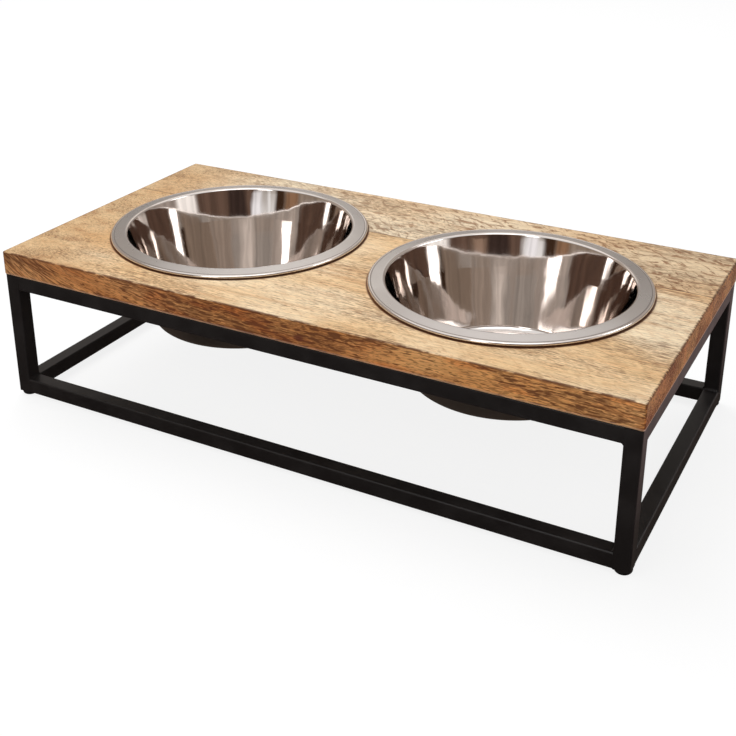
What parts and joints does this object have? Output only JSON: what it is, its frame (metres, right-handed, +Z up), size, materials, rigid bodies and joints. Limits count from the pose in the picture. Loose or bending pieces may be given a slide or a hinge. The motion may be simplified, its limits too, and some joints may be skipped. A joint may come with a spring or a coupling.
{
  "type": "raised pet bowl stand",
  "caption": "Low raised feeder: a wood board on a black square-tube frame, with steel bowls that hang in round holes and lift out.",
  "frame": {"origin": "on the floor, under the middle of the board", "axes": "+X along the board to the right, +Y to the back, +Z up"},
  "size_m": [0.508, 0.254, 0.1294],
  "materials": {
    "wood": "oiled satin",
    "frame_paint": "satin powder coat",
    "bowl_steel": "polished inside, satin rim",
    "foot_plastic": "matte",
    "screw_steel": "zinc plated"
  },
  "bodies": {
    "stand": {"front_stave": "wood", "back_stave": "wood", "front_left_leg": "frame_paint", "front_right_leg": "frame_paint", "back_left_leg": "frame_paint", "back_right_leg": "frame_paint", "front_upper_rail": "frame_paint", "back_upper_rail": "frame_paint", "left_upper_rail": "frame_paint", "right_upper_rail": "frame_paint", "front_lower_rail": "frame_paint", "back_lower_rail": "frame_paint", "left_lower_rail": "frame_paint", "right_lower_rail": "frame_paint", "front_left_foot": "foot_plastic", "front_right_foot": "foot_plastic", "back_left_foot": "foot_plastic", "back_right_foot": "foot_plastic", "front_rail_screws": "screw_steel", "back_rail_screws": "screw_steel"},
    "left_bowl": {"left_bowl": "bowl_steel"},
    "right_bowl": {"right_bowl": "bowl_steel"}
  },
  "joints": [
    {"name": "left_bowl_lift", "type": "slide", "parent": "stand", "child": "left_bowl", "axis": [0, 0, 1], "range_m": [0, 0.09]},
    {"name": "right_bowl_lift", "type": "slide", "parent": "stand", "child": "right_bowl", "axis": [0, 0, 1], "range_m": [0, 0.09]}
  ]
}
